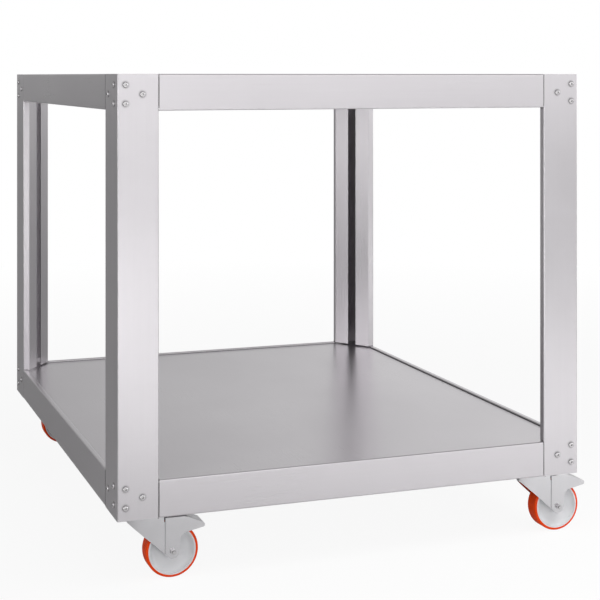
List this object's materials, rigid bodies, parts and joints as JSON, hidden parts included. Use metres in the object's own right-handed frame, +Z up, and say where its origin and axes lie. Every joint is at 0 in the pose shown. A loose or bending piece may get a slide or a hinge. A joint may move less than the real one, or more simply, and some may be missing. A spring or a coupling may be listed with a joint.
{
  "type": "mobile oven stand",
  "caption": "Open stainless oven stand of folded legs and rails with a lower shelf, on swivel casters with orange treads, the front ones with brake pedals.",
  "frame": {"origin": "on the floor, under the middle of the whole stand with its pedals and screw heads; the frame's own middle is 17.9 mm to the left of it", "axes": "+X to the right and +Y to the back, seen from the front face; +Z up"},
  "size_m": [1.0042, 1.1864, 0.9485],
  "materials": {
    "brushed_stainless": "fine vertical and lengthwise grain, satin",
    "mill_stainless": "plain mill finish",
    "bright_fasteners": "bright turned steel",
    "zinc_plated": "pressed, zinc plated, satin",
    "wheel_nylon": "moulded pale grey nylon, slight sheen",
    "orange_tread": "cast orange polyurethane, smooth"
  },
  "bodies": {
    "stand": {"leg_front_left": "brushed_stainless", "leg_front_right": "brushed_stainless", "leg_back_left": "brushed_stainless", "leg_back_right": "brushed_stainless", "top_rail_front": "brushed_stainless", "top_rail_back": "brushed_stainless", "top_rail_left": "brushed_stainless", "top_rail_right": "brushed_stainless", "bottom_rail_front": "brushed_stainless", "bottom_rail_back": "brushed_stainless", "bottom_rail_left": "brushed_stainless", "bottom_rail_right": "brushed_stainless", "shelf_panel": "brushed_stainless", "shelf_stiffeners": "mill_stainless", "foot_plates": "mill_stainless", "frame_screws": "bright_fasteners", "frame_nuts": "bright_fasteners", "caster_bolts": "bright_fasteners", "caster_nuts": "bright_fasteners", "caster_plate_front_left": "zinc_plated", "kingpin_front_left": "zinc_plated", "caster_plate_front_right": "zinc_plated", "kingpin_front_right": "zinc_plated", "caster_plate_back_left": "zinc_plated", "kingpin_back_left": "zinc_plated", "caster_plate_back_right": "zinc_plated", "kingpin_back_right": "zinc_plated"},
    "fork_front_left": {"fork_front_left": "zinc_plated", "swivel_balls_front_left": "zinc_plated", "axle_sleeve_front_left": "zinc_plated", "axle_bolt_front_left": "bright_fasteners", "axle_nut_front_left": "bright_fasteners"},
    "wheel_front_left": {"wheel_centre_front_left": "wheel_nylon", "tyre_front_left": "orange_tread"},
    "brake_pedal_front_left": {"brake_pedal_front_left": "zinc_plated"},
    "brake_strip_front_left": {"brake_strip_front_left": "zinc_plated"},
    "fork_front_right": {"fork_front_right": "zinc_plated", "swivel_balls_front_right": "zinc_plated", "axle_sleeve_front_right": "zinc_plated", "axle_bolt_front_right": "bright_fasteners", "axle_nut_front_right": "bright_fasteners"},
    "wheel_front_right": {"wheel_centre_front_right": "wheel_nylon", "tyre_front_right": "orange_tread"},
    "brake_pedal_front_right": {"brake_pedal_front_right": "zinc_plated"},
    "brake_strip_front_right": {"brake_strip_front_right": "zinc_plated"},
    "fork_back_left": {"fork_back_left": "zinc_plated", "swivel_balls_back_left": "zinc_plated", "axle_sleeve_back_left": "zinc_plated", "axle_bolt_back_left": "bright_fasteners", "axle_nut_back_left": "bright_fasteners"},
    "wheel_back_left": {"wheel_centre_back_left": "wheel_nylon", "tyre_back_left": "orange_tread"},
    "fork_back_right": {"fork_back_right": "zinc_plated", "swivel_balls_back_right": "zinc_plated", "axle_sleeve_back_right": "zinc_plated", "axle_bolt_back_right": "bright_fasteners", "axle_nut_back_right": "bright_fasteners"},
    "wheel_back_right": {"wheel_centre_back_right": "wheel_nylon", "tyre_back_right": "orange_tread"}
  },
  "joints": [
    {"name": "swivel_front_left", "type": "hinge", "parent": "stand", "child": "fork_front_left", "pos_m": [-0.4299, -0.53, 0], "axis": [0, 0, 1], "continuous": true},
    {"name": "roll_front_left", "type": "hinge", "parent": "fork_front_left", "child": "wheel_front_left", "pos_m": [-0.3839, -0.53, 0.051], "axis": [0, 1, 0], "continuous": true},
    {"name": "brake_front_left", "type": "hinge", "parent": "fork_front_left", "child": "brake_pedal_front_left", "pos_m": [-0.3839, -0.53, 0.051], "axis": [0, 1, 0], "range_deg": [0, 12]},
    {"name": "strip_front_left", "type": "hinge", "parent": "fork_front_left", "child": "brake_strip_front_left", "pos_m": [-0.4174, -0.53, 0.1147], "axis": [0, 1, 0], "range_deg": [0, 4.6]},
    {"name": "swivel_front_right", "type": "hinge", "parent": "stand", "child": "fork_front_right", "pos_m": [0.3941, -0.53, 0], "axis": [0, 0, 1], "continuous": true},
    {"name": "roll_front_right", "type": "hinge", "parent": "fork_front_right", "child": "wheel_front_right", "pos_m": [0.4401, -0.53, 0.051], "axis": [0, 1, 0], "continuous": true},
    {"name": "brake_front_right", "type": "hinge", "parent": "fork_front_right", "child": "brake_pedal_front_right", "pos_m": [0.4401, -0.53, 0.051], "axis": [0, 1, 0], "range_deg": [0, 12]},
    {"name": "strip_front_right", "type": "hinge", "parent": "fork_front_right", "child": "brake_strip_front_right", "pos_m": [0.4066, -0.53, 0.1147], "axis": [0, 1, 0], "range_deg": [0, 4.6]},
    {"name": "swivel_back_left", "type": "hinge", "parent": "stand", "child": "fork_back_left", "pos_m": [-0.4389, 0.53, 0], "axis": [0, 0, 1], "continuous": true},
    {"name": "roll_back_left", "type": "hinge", "parent": "fork_back_left", "child": "wheel_back_left", "pos_m": [-0.3929, 0.53, 0.051], "axis": [0, 1, 0], "continuous": true},
    {"name": "swivel_back_right", "type": "hinge", "parent": "stand", "child": "fork_back_right", "pos_m": [0.4031, 0.53, 0], "axis": [0, 0, 1], "continuous": true},
    {"name": "roll_back_right", "type": "hinge", "parent": "fork_back_right", "child": "wheel_back_right", "pos_m": [0.4491, 0.53, 0.051], "axis": [0, 1, 0], "continuous": true}
  ],
  "couplings": [
    {"joint": "strip_front_left", "follows": "brake_front_left", "ratio": 0.38333},
    {"joint": "strip_front_right", "follows": "brake_front_right", "ratio": 0.38333}
  ]
}
